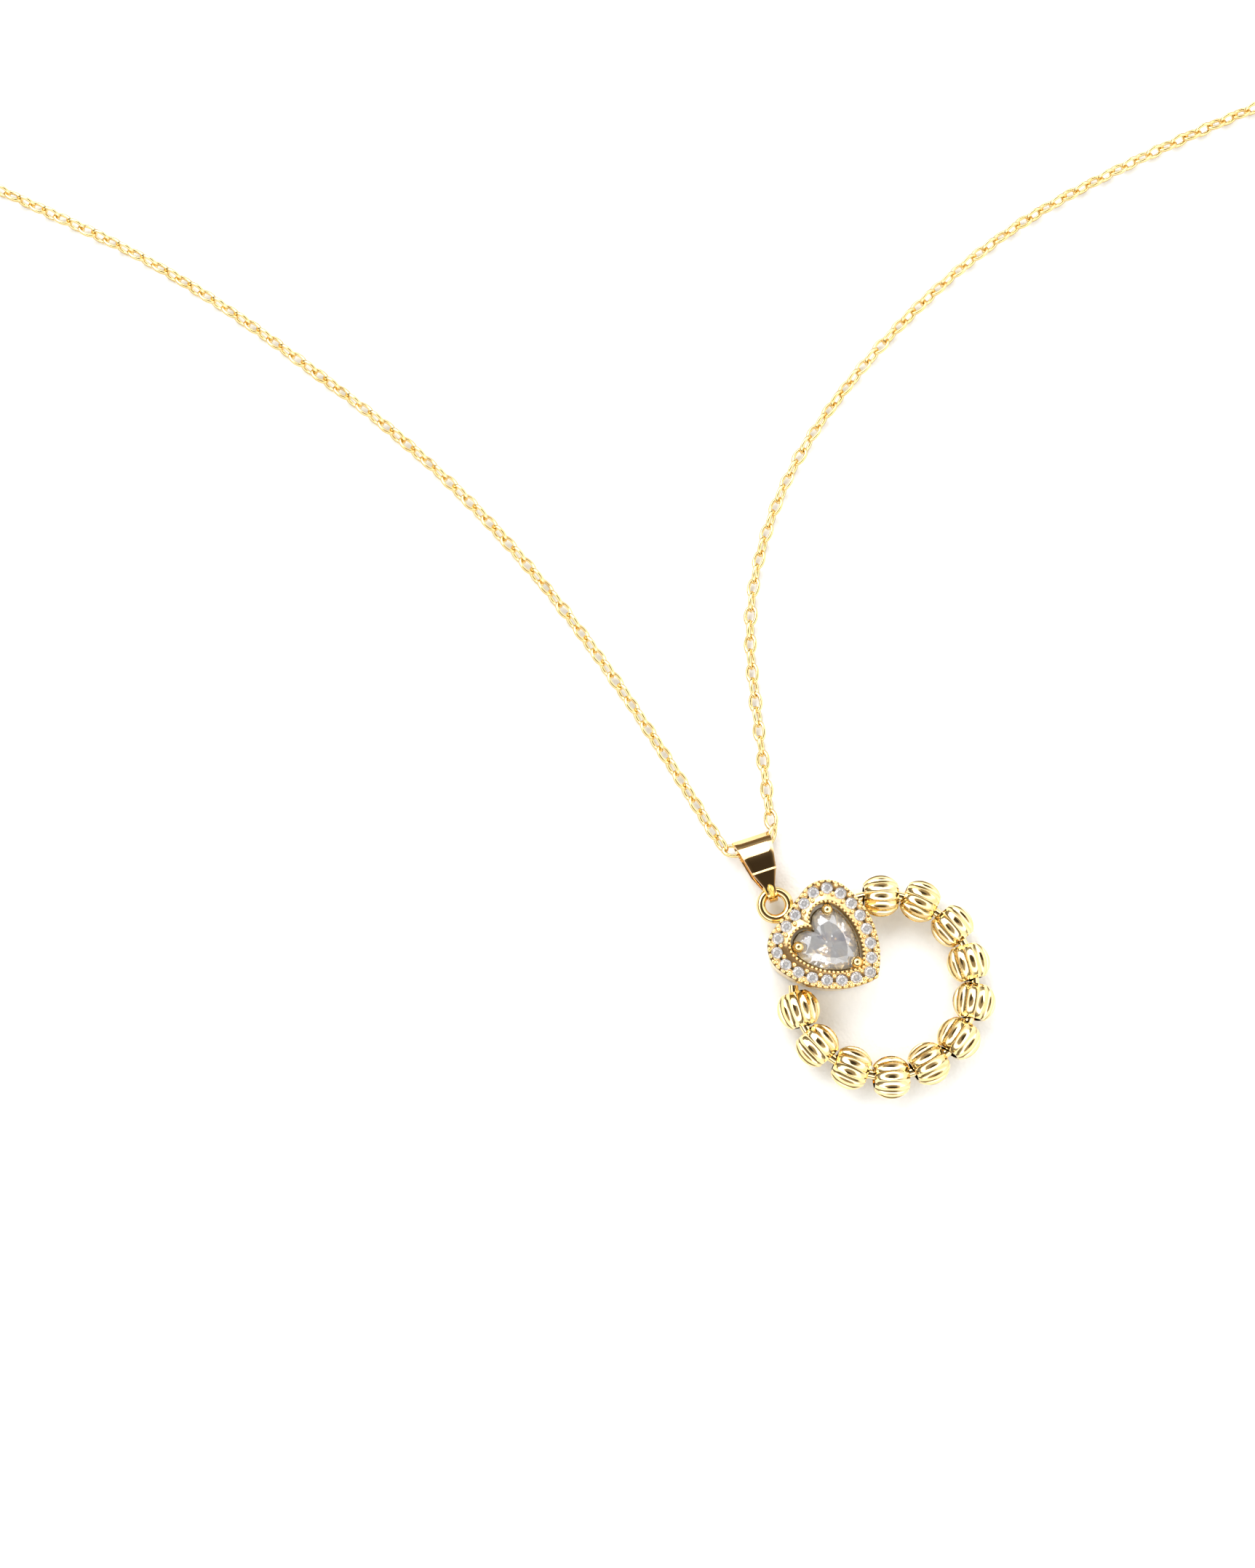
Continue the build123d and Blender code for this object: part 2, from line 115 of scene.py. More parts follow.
SOLDER_ALONG = 3.88
SOLDER_HEIGHT = 1.56
SOLDER_REACH = Vector((1.04, 0.60, 1.16))  # half of the drop's length, width and height
BAIL_START = Vector((*(LOOP_CENTER - BAIL_HANG * BAIL_DOWN.xy), 0.0))

CHAIN_ROUTE = (
    (-28.2, 137.1, 1.75), (-37.5, 136.9, 0.7), (-50.0, 135.3, 0.7), (-63.5, 131.8, 0.7),
    (-77.5, 127.4, 0.7), (-90.5, 120.0, 0.7), (-99.0, 110.0, 0.7), (-101.8, 98.5, 0.7),
    (-98.3, 88.3, 0.7), (-90.5, 81.6, 0.7), (-80.3, 76.6, 0.7), (-70.6, 71.8, 0.7),
    (-60.9, 65.5, 0.7), (-52.7, 59.2, 0.7), (-44.8, 53.0, 0.7), (-36.9, 45.5, 0.7),
    (-29.1, 36.4, 0.7), (-23.2, 28.1, 0.7), (-18.6, 20.9, 0.7), (-15.3, 15.5, 0.7),
    (-13.3, 12.0, 0.8), (-11.95, 10.15, 1.25), (-7.75, 11.55, 1.25), (-8.15, 14.0, 0.8),
    (-8.6, 18.4, 0.7), (-9.3, 24.6, 0.7), (-9.95, 32.0, 0.7), (-9.0, 39.7, 0.7),
    (-5.6, 49.0, 0.7), (0.2, 57.9, 0.7), (8.0, 66.9, 0.7), (17.3, 75.0, 0.7),
    (27.9, 81.2, 0.7), (39.0, 86.7, 0.7), (49.5, 91.3, 0.7), (56.8, 98.0, 0.7),
    (59.3, 107.5, 0.7), (56.8, 117.8, 0.7), (49.0, 126.0, 0.7), (37.5, 131.5, 0.7),
    (24.5, 134.0, 0.7), (11.0, 136.0, 0.7), (-1.0, 137.1, 0.7), (-13.35, 137.1, 1.75),
)
HOOK_SHARE = 0.66  # how far the last links go past the ends, as a share of their width

BEAD_COUNT = 11
FIRST_BEAD_ANGLE = 90.5
BEAD_PITCH_ANGLE = -25.4
BEAD_STAGGER = (-0.12, 0.18, 0.10, -0.24, 0.06, 0.00, -0.12, 0.18, -0.06, 0.06, -0.10)
BEAD_SPINS = (4, 19, 11, 26, 8, 22, 2, 15, 27, 6, 17)  # degrees about its own hole

STUDIO_STRENGTH = 3.0
DARK_WAY = (0.0, 0.225, 0.974)  # the direction of the unlit patch of the studio's ceiling
WINDOW_SPOT = (-0.30, 0.45, 0.55)
WINDOW_AIM = (0.0, 0.02, 0.0)
WINDOW_SIZE = (0.7, 0.5)
WINDOW_POWER = 3.5


# ---------------------------------------------------------------- sizes a user may change
def length_prop(name, description, default):
    """A size in metres whose default is given in millimetres."""
    return bpy.props.FloatProperty(name=name, description=description, default=default * MM, unit="LENGTH")


def angle_prop(name, description, default):
    """An angle in radians."""
    return bpy.props.FloatProperty(name=name, description=description, default=default, subtype="ANGLE")


def colour_prop(name, description, default):
    """A plain colour without see-through."""
    return bpy.props.FloatVectorProperty(
        name=name, description=description, default=default, size=3, subtype="COLOR", min=0.0, max=1.0
    )


class ChainSettings(bpy.types.PropertyGroup):
    """Sizes of the chain and its links"""

    link_length: length_prop("Link length", "Outside length of one link", 2.22)
    link_width: length_prop("Link width", "Outside width of one link", 1.46)
    link_wire: length_prop("Link wire", "Diameter of the wire that links are bent from", 0.39)
    lean: angle_prop("Lean", "How far links lean over", -0.46)
    play: angle_prop("Play", "Most that one link differs", 0.14)


class BeadSettings(bpy.types.PropertyGroup):
    """Sizes of the fluted beads"""

    diameter: length_prop("Bead diameter", "Across the ridges", 3.90)
    half_length: length_prop("Bead half length", "From the middle to the flat round the hole", 1.58)
    bore: length_prop("Bore", "Diameter of the hole", 1.74)
    flutes: bpy.props.IntProperty(name="Flutes", description="Hollows round one bead", default=16, min=4)
    depth: bpy.props.FloatProperty(
        name="Flute depth", description="Depth as a share of the radius", default=0.075, subtype="FACTOR"
    )


class HaloSettings(bpy.types.PropertyGroup):
    """Sizes of the halo's grains and stones"""

    rim_grain: length_prop("Rim grain", "Diameter of a grain on the outer edge", 0.46)
    rim_pitch: length_prop("Rim pitch", "Spacing of the grains on the outer edge", 0.60)
    window_grain: length_prop("Window grain", "Diameter of a grain on the inner edge", 0.31)
    window_pitch: length_prop("Window pitch", "Spacing of the grains on the inner edge", 0.40)
    prong: length_prop("Prong", "Diameter of a grain that holds the small stones", 0.46)
    stone: length_prop("Small stone", "Diameter of a stone of the halo", 1.06)


class FinishSettings(bpy.types.PropertyGroup):
    """Colours of the metals and stones"""

    gold: colour_prop("Gold", "Colour of the plated metal", (0.86, 0.66, 0.33))
    pale_gold: colour_prop("Pale gold", "Colour of the beads' plating", (0.90, 0.71, 0.38))
    rose_gold: colour_prop("Bail gold", "Colour of the bail's plating", (0.90, 0.62, 0.32))
    stone: colour_prop("Stone", "Tint of the clear stones", (0.97, 0.98, 1.0))


class StageSettings(bpy.types.PropertyGroup):
    """Colour and size of the floor"""

    floor: colour_prop("Floor", "Colour of the pale leather floor", (0.88, 0.90, 0.91))
    floor_size: length_prop("Floor size", "Side of the square floor", 4000.0)


GROUPS = {
    "necklace_chain": ChainSettings,
    "necklace_bead": BeadSettings,
    "necklace_halo": HaloSettings,
    "necklace_finish": FinishSettings,
    "necklace_stage": StageSettings,
}


# ---------------------------------------------------------------- building node trees
class Tree:
    """A node tree under construction."""

    def __init__(self, tree):
        self.tree = tree

    def node(self, kind, inputs=None, **settings):
        """A node with its settings and inputs; an input is a plain value or another node's socket."""
        made = self.tree.nodes.new(kind)
        for key, value in settings.items():
            setattr(made, key, value)
        for key, value in (inputs or {}).items():
            if isinstance(value, bpy.types.NodeSocket):
                self.tree.links.new(value, made.inputs[key])
            else:
                made.inputs[key].default_value = value
        return made

    def math(self, operation, *values):
        kind = "ShaderNodeMath"
        return self.node(kind, dict(enumerate(values)), operation=operation).outputs[0]

    def xyz(self, x, y, z):
        return self.node("ShaderNodeCombineXYZ", {0: x, 1: y, 2: z}).outputs[0]

    def ramp(self, value, *stops):
        """A colour ramp; each stop is (position, grey or colour)."""
        made = self.node("ShaderNodeValToRGB", {"Fac": value})
        elements = made.color_ramp.elements
        while len(elements) < len(stops):
            elements.new(0.5)
        for element, (position, colour) in zip(elements, stops):
            element.position = position
            element.color = (colour, colour, colour, 1) if isinstance(colour, float) else (*colour, 1)
        return made.outputs["Color"]

    def mix(self, factor, first, second, blend="MIX"):
        made = self.node("ShaderNodeMix", data_type="RGBA", blend_type=blend)
        for socket, value in ((made.inputs[0], factor), (made.inputs[6], first), (made.inputs[7], second)):
            if isinstance(value, bpy.types.NodeSocket):
                self.tree.links.new(value, socket)
            else:
                socket.default_value = value if isinstance(value, float) else (*value, 1)
        return made.outputs[2]


class Shape(Tree):
    """A Geometry Nodes tree with named inputs, which ends in Realize Instances and Set Material."""

    def __init__(self, name, takes_geometry=False):
        super().__init__(bpy.data.node_groups.new(name, "GeometryNodeTree"))
        self.tree.is_modifier = True
        if takes_geometry:
            self.tree.interface.new_socket("Geometry", in_out="INPUT", socket_type="NodeSocketGeometry")
        self.tree.interface.new_socket("Geometry", in_out="OUTPUT", socket_type="NodeSocketGeometry")
        self.start = self.tree.nodes.new("NodeGroupInput")
        self.sockets = {}
        self.values = {}

    def size(self, name, value):
        """A named input, whose value the modifier gets."""
        kinds = {float: "NodeSocketFloat", int: "NodeSocketInt"}
        socket = self.tree.interface.new_socket(name, in_out="INPUT", socket_type=kinds[type(value)])
        self.sockets[name] = socket.identifier
        self.values[name] = value
        return self.start.outputs[name]

    def finish(self, geometry, material):
        self.material = material
        whole = self.node("GeometryNodeRealizeInstances", {"Geometry": geometry}).outputs[0]
        painted = self.node("GeometryNodeSetMaterial", {"Geometry": whole, "Material": material}).outputs[0]
        self.node("NodeGroupOutput", {0: painted})

    def bake(self, source, name, **changed):
        """Runs the tree on an object and returns its result as a plain mesh object."""
        modifier = source.modifiers.new("shape", "NODES")
        modifier.node_group = self.tree
        for key, value in {**self.values, **changed}.items():
            modifier[self.sockets[key]] = value
        seen = source.evaluated_get(bpy.context.evaluated_depsgraph_get())
        mesh = bpy.data.meshes.new_from_object(seen)
        source.modifiers.remove(modifier)
        mesh.materials.clear()
        mesh.materials.append(self.material)
        mesh.polygons.foreach_set("material_index", [0] * len(mesh.polygons))
        return link(name, mesh)


def link(name, data):
    made = bpy.data.objects.new(name, data)
    bpy.context.scene.collection.objects.link(made)
    return made


def discard(piece):
    bpy.data.objects.remove(piece)


def settings(name):
    return getattr(bpy.context.scene, name)


# ---------------------------------------------------------------- materials
def new_material(name):
    """An empty node material and its shader."""
    made = bpy.data.materials.new(name)
    made.use_nodes = True
    shading = Tree(made.node_tree)
    return made, shading, made.node_tree.nodes["Principled BSDF"]


def plated(name, colour, roughness, grain, scratch=0.0):
    """Polished plated metal: a hint of colour change, fine polishing marks and a soft micro relief."""
    made, shading, shader = new_material(name)
    place = shading.node("ShaderNodeTexCoord").outputs["Object"]
    patches = shading.node("ShaderNodeTexNoise", {"Vector": place, "Scale": 260.0, "Detail": 3.0})
    deep = tuple(channel * shade for channel, shade in zip(colour, (0.93, 0.88, 0.74)))
    tint = shading.ramp(patches.outputs["Fac"], (0.30, deep), (0.66, tuple(colour)))
    shading.tree.links.new(tint, shader.inputs["Base Color"])
    shader.inputs["Metallic"].default_value = 1.0
    marks = shading.node("ShaderNodeTexNoise", {"Vector": place, "Scale": 5200.0, "Detail": 4.0})
    worn = shading.math("MULTIPLY_ADD", marks.outputs["Fac"], roughness, roughness * 0.5)
    shading.tree.links.new(worn, shader.inputs["Roughness"])
    relief = shading.node("ShaderNodeTexNoise", {"Vector": place, "Scale": 900.0, "Detail": 2.0})
    scratches = shading.math("MULTIPLY", marks.outputs["Fac"], scratch)
    height = shading.math("ADD", relief.outputs["Fac"], scratches)
    bump = shading.node("ShaderNodeBump", {"Strength": grain, "Distance": 0.00002, "Height": height})
    shading.tree.links.new(bump.outputs["Normal"], shader.inputs["Normal"])
    return made


def clear_stone(name, tint):
    """Cut clear crystal: strong refraction, with facet-sized patches of painted dark and tan reflection in
    its colour.
    """
    made, shading, shader = new_material(name)
    place = shading.node("ShaderNodeTexCoord").outputs["Object"]
    # Painted reflection: bluish-grey dark and tan cells, about a facet across, laid into the stone's colour.
    reflection_patches = shading.node("ShaderNodeTexVoronoi", {"Vector": place, "Scale": 1500.0})
    shade = shading.ramp(
        reflection_patches.outputs["Color"],
        (0.0, (0.62, 0.62, 0.74)),
        (0.35, tuple(tint)),
        (0.8, tuple(tint)),
        (1.0, (0.95, 0.86, 0.74)),
    )
    shading.tree.links.new(shade, shader.inputs["Base Color"])
    shader.inputs["Roughness"].default_value = 0.0
    shader.inputs["Transmission Weight"].default_value = 0.80
    shader.inputs["IOR"].default_value = 2.1
    return made


def solder(name, colour):
    """Matte raw solder with a lumpy, sandy skin."""
    made, shading, shader = new_material(name)
    place = shading.node("ShaderNodeTexCoord").outputs["Object"]
    lumps = shading.node("ShaderNodeTexNoise", {"Vector": place, "Scale": 2600.0, "Detail": 5.0})
    tint = shading.ramp(lumps.outputs["Fac"], (0.3, tuple(c * 0.75 for c in colour)), (0.7, tuple(colour)))
    shading.tree.links.new(tint, shader.inputs["Base Color"])
    shader.inputs["Metallic"].default_value = 1.0
    shader.inputs["Roughness"].default_value = 0.36
    bump = shading.node(
        "ShaderNodeBump", {"Strength": 0.6, "Distance": 0.00006, "Height": lumps.outputs["Fac"]}
    )
    shading.tree.links.new(bump.outputs["Normal"], shader.inputs["Normal"])
    return made


def leather(name, colour):
    """Pale floor with the pebbled grain of smooth leather."""
    made, shading, shader = new_material(name)
    place = shading.node("ShaderNodeTexCoord").outputs["Object"]
    pebbles = shading.node("ShaderNodeTexVoronoi", {"Vector": place, "Scale": 3600.0}, feature="SMOOTH_F1")
    warp = shading.node("ShaderNodeTexNoise", {"Vector": place, "Scale": 700.0, "Detail": 5.0})
    height = shading.math("MULTIPLY_ADD", pebbles.outputs["Distance"], 0.5, warp.outputs["Fac"])
    bump = shading.node("ShaderNodeBump", {"Strength": 0.35, "Distance": 0.0002, "Height": height})
    tint = shading.ramp(warp.outputs["Fac"], (0.3, tuple(c * 0.97 for c in colour)), (0.7, tuple(colour)))
    shading.tree.links.new(tint, shader.inputs["Base Color"])
    shading.tree.links.new(bump.outputs["Normal"], shader.inputs["Normal"])
    shader.inputs["Roughness"].default_value = 0.6
    return made


def finish(name):
    """The named finish, made the first time that it is asked for."""
    if name in bpy.data.materials:
        return bpy.data.materials[name]
    paint = settings("necklace_finish")
    makers = {
        "halo gold": lambda: plated(name, paint.gold, 0.10, 0.30, 0.2),
        # The halo channel's gold is the bail gold darkened to 0.62: painted shade for the sunken channel
        # between the stones.
        "shaded channel gold": lambda: plated(name, tuple(c * 0.62 for c in paint.rose_gold), 0.16, 0.8, 0.4),
        "bead gold": lambda: plated(name, paint.pale_gold, 0.07, 0.15),
        "bail gold": lambda: plated(name, paint.rose_gold, 0.06, 0.12),
        "chain gold": lambda: plated(name, paint.gold, 0.14, 0.30, 0.2),
        "clasp gold": lambda: plated(name, paint.gold, 0.12, 0.25, 0.2),
        "spring steel": lambda: plated(name, (0.62, 0.62, 0.64), 0.2, 0.3, 0.5),
        "raw solder": lambda: solder(name, (1.0, 0.72, 0.20)),
        "clear stone": lambda: clear_stone(name, paint.stone),
    }
    return makers[name]()


def repaint(node, name):
    """Gives a metal part of the frame its finish."""
    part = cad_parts[node]
    part.data.materials.clear()
    part.data.materials.append(finish(name))


# ---------------------------------------------------------------- shapes
def heart_point(along, off, height):
    """A point on the heart: along its axis from cleft to tip, off it, and its height, in millimetres."""
    turned = Matrix.Rotation(HEART_ANGLE, 3, "Z") @ Vector((along, off, height))
    return HEART_ORIGIN + turned * MM


def grown(lobe, tip, grow):
    """A heart's lobe and tip after it is moved outwards all round."""
    along, off, radius = lobe
    width = off + radius
    side = ((tip - along) ** 2 + width**2) / (2 * width)
    return (along, off, radius + grow), along + sqrt((side + grow) ** 2 - (side - width) ** 2)


def heart_line(lobe, tip, notched, count):
    """Evenly spaced points round a heart, from its cleft over a lobe to the tip and back, and its length."""
    along, off, radius = lobe
    width = off + radius
    side = ((tip - along) ** 2 + width**2) / (2 * width)
    start = pi + asin(off / radius) if notched else pi
    run = 0.0 if notched else off
    lobe_length = radius * (start - pi / 2)
    side_turn = asin((tip - along) / side)
    half = run + lobe_length + side * side_turn
    points = []
    for i in range(count):
        way = i / count * 2 * half
        gone = min(way, 2 * half - way)
        if gone < run:
            spot = (along - radius, gone)
        elif gone < run + lobe_length:
            turn = start - (gone - run) / radius
            spot = (along + radius * cos(turn), off + radius * sin(turn))
        else:
            turn = (gone - run - lobe_length) / side
            spot = (along + side * sin(turn), width - side + side * cos(turn))
        points.append((spot[0], spot[1] if way <= half else -spot[1]))
    return points, 2 * half


def mesh_piece(name, shape, material, smooth=True):
    """A mesh object from a finished bmesh."""
    mesh = bpy.data.meshes.new(name)
    shape.to_mesh(mesh)
    shape.free()
    mesh.materials.append(material)
    mesh.polygons.foreach_set("use_smooth", [smooth] * len(mesh.polygons))
    return link(name, mesh)


def point_cloud(name, spots, turns):
    """A mesh of loose points, each with the angle that what is set on it turns by."""
    mesh = bpy.data.meshes.new(name)
    mesh.from_pydata(spots, [], [])
    mesh.attributes.new("turn", "FLOAT", "POINT").data.foreach_set("value", turns)
    return link(name, mesh)


def set_on(name, spots, turns, shape, geometry, material):
    """Sets one shape at every spot, turned about the vertical, and returns the plain mesh."""
    cloud = point_cloud(name + " spots", spots, turns)
    turn = shape.node("GeometryNodeInputNamedAttribute", {"Name": "turn"}, data_type="FLOAT")
    turned = shape.xyz(0.0, 0.0, turn.outputs["Attribute"])
    placed = shape.node(
        "GeometryNodeInstanceOnPoints",
        {"Points": shape.start.outputs["Geometry"], "Instance": geometry, "Rotation": turned},
    )
    shape.finish(placed.outputs["Instances"], material)
    piece = shape.bake(cloud, name)
    discard(cloud)
    return piece


def grains(name, spots, turns, length, width, material):
    """Small rounded grains of metal at the spots."""
    shape = Shape(name, takes_geometry=True)
    size = shape.xyz(shape.size("Length", length), shape.size("Width", width), shape.size("Height", width))
    ball = shape.node("GeometryNodeMeshIcoSphere", {"Radius": 0.5, "Subdivisions": 2}).outputs["Mesh"]
    ball = shape.node("GeometryNodeSetShadeSmooth", {"Geometry": ball}).outputs[0]
    ball = shape.node("GeometryNodeTransform", {"Geometry": ball, "Scale": size}).outputs[0]
    return set_on(name, spots, turns, shape, ball, material)


def along_heart(lobe, tip, pitch, height, shift=0.0, aside=0.0, notched=False):
    """Spots and directions at an even pitch round a heart, moved aside from the line."""
    whole = heart_line(lobe, tip, notched, 2)[1]
    count = round(whole / pitch)
    fine, whole = heart_line(lobe, tip, notched, 8 * count)
    spots = []
    turns = []
    for i in range(count):
        here = round(8 * (i + shift))
        before = Vector(fine[(here - 1) % len(fine)])
        spot = Vector(fine[here % len(fine)])
        after = Vector(fine[(here + 1) % len(fine)])
        way = (after - before).normalized()
        spot += Vector((-way.y, way.x)) * aside
        spots.append(heart_point(spot.x, spot.y, height))
        turns.append(HEART_ANGLE + atan2(way.y, way.x))
    return spots, turns


# ---------------------------------------------------------------- the pieces
class NECKLACE_OT_camera(bpy.types.Operator):
    """Sets the camera over the pendant, leaning back a little towards the viewer"""

    bl_idname = "necklace.camera"
    bl_label = "Camera"

    def execute(self, context):
        data = bpy.data.cameras.new("camera")
        data.lens = CAMERA_LENS
        data.sensor_fit = "VERTICAL"
        data.sensor_height = CAMERA_SENSOR
        data.clip_start = 1 * MM
        data.clip_end = 10.0
        camera = link("camera", data)
        turned = Matrix.Rotation(radians(CAMERA_TILT), 3, "X")
        frame_height = CAMERA_SENSOR / CAMERA_LENS * CAMERA_DISTANCE
        frame_width = frame_height * PICTURE_WIDTH / PICTURE_HEIGHT
        aside = Vector((RING_IN_FRAME[0] * frame_width, RING_IN_FRAME[1] * frame_height, -CAMERA_DISTANCE))
        camera.matrix_world = Matrix.Translation(RING_CENTER - turned @ aside) @ turned.to_4x4()
        context.scene.camera = camera
        return {"FINISHED"}


def chain_path():
    """Points along the chain's smooth line."""
    curve = bpy.data.curves.new("chain route", "CURVE")
    curve.dimensions = "3D"
    curve.resolution_u = 24
    spline = curve.splines.new("NURBS")
    spline.points.add(len(CHAIN_ROUTE) - 1)
    for point, spot in zip(spline.points, CHAIN_ROUTE):
        point.co = (*(Vector(spot) * MM), 1.0)
    spline.order_u = 3
    spline.use_endpoint_u = True
    route = link("chain route", curve)
    line = bpy.data.meshes.new_from_object(route.evaluated_get(bpy.context.evaluated_depsgraph_get()))
    points = [vertex.co.copy() for vertex in line.vertices]
    discard(route)
    return points


class NECKLACE_OT_chain(bpy.types.Operator):
    """Bends every oval link of the chain and hangs each in the one before"""

    bl_idname = "necklace.chain"
    bl_label = "Chain links"

    def execute(self, context):
        sizes = settings("necklace_chain")
        points = chain_path()
        hook = sizes.link_width * HOOK_SHARE
        first = points[0] + (points[0] - points[1]).normalized() * hook
        last = points[-1] + (points[-1] - points[-2]).normalized() * hook
        line = [first, *points, last]
        mesh = bpy.data.meshes.new("chain line")
        mesh.from_pydata(line, [(i, i + 1) for i in range(len(line) - 1)], [])
        guide = link("chain line", mesh)
        whole = sum((end - start).length for start, end in zip(line, line[1:]))
        pitch = sizes.link_length - 2 * sizes.link_wire

        shape = Shape("chain links", takes_geometry=True)
        count = shape.size("Links", round(whole / pitch))
        length = shape.size("Link length", sizes.link_length)
        width = shape.size("Link width", sizes.link_width)
        wire = shape.size("Link wire", sizes.link_wire)
        lean = shape.size("Lean", sizes.lean)
        play = shape.size("Play", sizes.play)
        path = shape.node("GeometryNodeMeshToCurve", {"Mesh": shape.start.outputs["Geometry"]}).outputs[0]
        index = shape.node("GeometryNodeInputIndex").outputs[0]
        share = shape.math("DIVIDE", shape.math("ADD", index, 0.5), count)
        sample = shape.node("GeometryNodeSampleCurve", {"Factor": share}, mode="FACTOR")
        shape.tree.links.new(path, sample.inputs["Curves"])
        spots = shape.node("GeometryNodePoints", {"Count": count, "Position": sample.outputs["Position"]})
        seed = shape.node("FunctionNodeRandomValue", {"Seed": 7}, data_type="FLOAT")
        shape.tree.links.new(play, seed.inputs[3])
        shape.tree.links.new(shape.math("MULTIPLY", play, -1.0), seed.inputs[2])
        quarter = shape.math("MULTIPLY_ADD", shape.math("MODULO", index, 2.0), pi / 2, lean)
        roll = shape.math("ADD", quarter, seed.outputs[1])
        along = shape.node(
            "FunctionNodeAxesToRotation",
            {"Primary Axis": sample.outputs["Tangent"], "Secondary Axis": (0.0, 0.0, 1.0)},
            primary_axis="X",
            secondary_axis="Z",
        )
        rolled = shape.node("FunctionNodeAxisAngleToRotation", {"Axis": (1.0, 0.0, 0.0), "Angle": roll})
        turned = shape.node(
            "FunctionNodeRotateRotation",
            {"Rotation": along.outputs[0], "Rotate By": rolled.outputs[0]},
            rotation_space="LOCAL",
        )
        oval = shape.node("GeometryNodeCurvePrimitiveCircle", {"Resolution": 16, "Radius": 0.5})
        scale = shape.xyz(shape.math("SUBTRACT", length, wire), shape.math("SUBTRACT", width, wire), 1.0)
        oval = shape.node("GeometryNodeTransform", {"Geometry": oval.outputs[0], "Scale": scale})
        round_wire = shape.node(
            "GeometryNodeCurvePrimitiveCircle", {"Resolution": 6, "Radius": shape.math("MULTIPLY", wire, 0.5)}
        )
        link_mesh = shape.node(
            "GeometryNodeCurveToMesh", {"Curve": oval.outputs[0], "Profile Curve": round_wire.outputs[0]}
        )
        placed = shape.node(
            "GeometryNodeInstanceOnPoints",
            {"Points": spots.outputs[0], "Instance": link_mesh.outputs[0], "Rotation": turned.outputs[0]},
        )
        shape.finish(placed.outputs[0], finish("chain gold"))
        links = shape.bake(guide, "chain_links")
        discard(guide)
        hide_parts("chain")
        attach(links, "chain")
        return {"FINISHED"}


class NECKLACE_OT_beads(bpy.types.Operator):
    """Turns the fluted beads and threads them on the ring's wire"""

    bl_idname = "necklace.beads"
    bl_label = "Beads"

    def execute(self, context):
        sizes = settings("necklace_bead")
        bands = 24
        steps = 8
        shape = Shape("fluted bead")
        radius = shape.size("Radius", sizes.diameter / 2)
        reach = shape.size("Half length", sizes.half_length)
        bore = shape.size("Bore radius", sizes.bore / 2)
        flutes = shape.size("Flutes", sizes.flutes)
        depth = shape.size("Flute depth", sizes.depth)
        spin = shape.size("Spin", 0.0)
        around = shape.math("ADD", shape.math("MULTIPLY", flutes, float(steps)), 1.0)
        sheet = shape.node(
            "GeometryNodeMeshGrid",
            {"Size X": 1.0, "Size Y": 1.0, "Vertices X": around, "Vertices Y": bands + 4},
        )
        place = shape.node("GeometryNodeInputPosition").outputs[0]
        flat = shape.node("ShaderNodeSeparateXYZ", {0: place})
        turn = shape.math("ADD", flat.outputs[0], 0.5)
        ring = shape.math("MULTIPLY", shape.math("ADD", flat.outputs[1], 0.5), bands + 3.0)
        ring = shape.math("ROUND", ring)
        inside = shape.math("COMPARE", ring, bands + 1.5, 0.6)
        past = shape.math("GREATER_THAN", ring, bands + 1.5)
        share = shape.math("DIVIDE", shape.math("MINIMUM", ring, float(bands)), bands / 2)
        share = shape.math("SUBTRACT", shape.math("SUBTRACT", share, 1.0), shape.math("MULTIPLY", past, 2.0))
        height = shape.math("MULTIPLY", share, reach)
        ball = shape.math("SUBTRACT", shape.math("POWER", radius, 2.0), shape.math("POWER", height, 2.0))
        ball = shape.math("SQRT", ball)
        across = shape.math("FRACT", shape.math("MULTIPLY", turn, flutes))
        across = shape.math("MULTIPLY_ADD", across, 2.0, -1.0)
        across = shape.math("POWER", shape.math("ABSOLUTE", across), 3.0)
        hollow = shape.math("MULTIPLY", shape.math("SUBTRACT", 1.0, across), depth)
        outer = shape.math("MULTIPLY", ball, shape.math("SUBTRACT", 1.0, hollow))
        gap = shape.math("SUBTRACT", bore, outer)
        reach_out = shape.math("MULTIPLY_ADD", gap, inside, outer)
        angle = shape.math("MULTIPLY_ADD", turn, tau, spin)
        spot = shape.xyz(
            shape.math("MULTIPLY", reach_out, shape.math("COSINE", angle)),
            shape.math("MULTIPLY", reach_out, shape.math("SINE", angle)),
            height,
        )
        bead = shape.node("GeometryNodeSetPosition", {"Geometry": sheet.outputs["Mesh"], "Position": spot})
        bead = shape.node(
            "GeometryNodeMergeByDistance", {"Geometry": bead.outputs[0], "Distance": 0.002 * MM}
        )
        bead = shape.node("GeometryNodeSetShadeSmooth", {"Geometry": bead.outputs[0]})
        edge_angle = shape.node("GeometryNodeInputMeshEdgeAngle").outputs[0]
        crisp = shape.math("LESS_THAN", edge_angle, radians(28))
        bead = shape.node(
            "GeometryNodeSetShadeSmooth", {"Geometry": bead.outputs[0], "Shade Smooth": crisp}, domain="EDGE"
        )
        shape.finish(bead.outputs[0], finish("bead gold"))
        blank = point_cloud("bead blank", [], [])
        for i in range(BEAD_COUNT):
            name = f"bead_{i + 1:02d}"
            angle = radians(FIRST_BEAD_ANGLE + i * BEAD_PITCH_ANGLE)
            out = Vector((cos(angle), sin(angle), 0.0))
            bead = shape.bake(blank, f"fluted_{name}", Spin=radians(BEAD_SPINS[i]))
            turned = Vector((0, 0, 1)).rotation_difference(Vector((-sin(angle), cos(angle), 0.0)))
            spot = RING_CENTER + out * (RING_RADIUS + BEAD_STAGGER[i] * MM)
            bead.data.transform(Matrix.Translation(spot) @ turned.to_matrix().to_4x4())
            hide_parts(name)
            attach(bead, name)
        discard(blank)
        return {"FINISHED"}


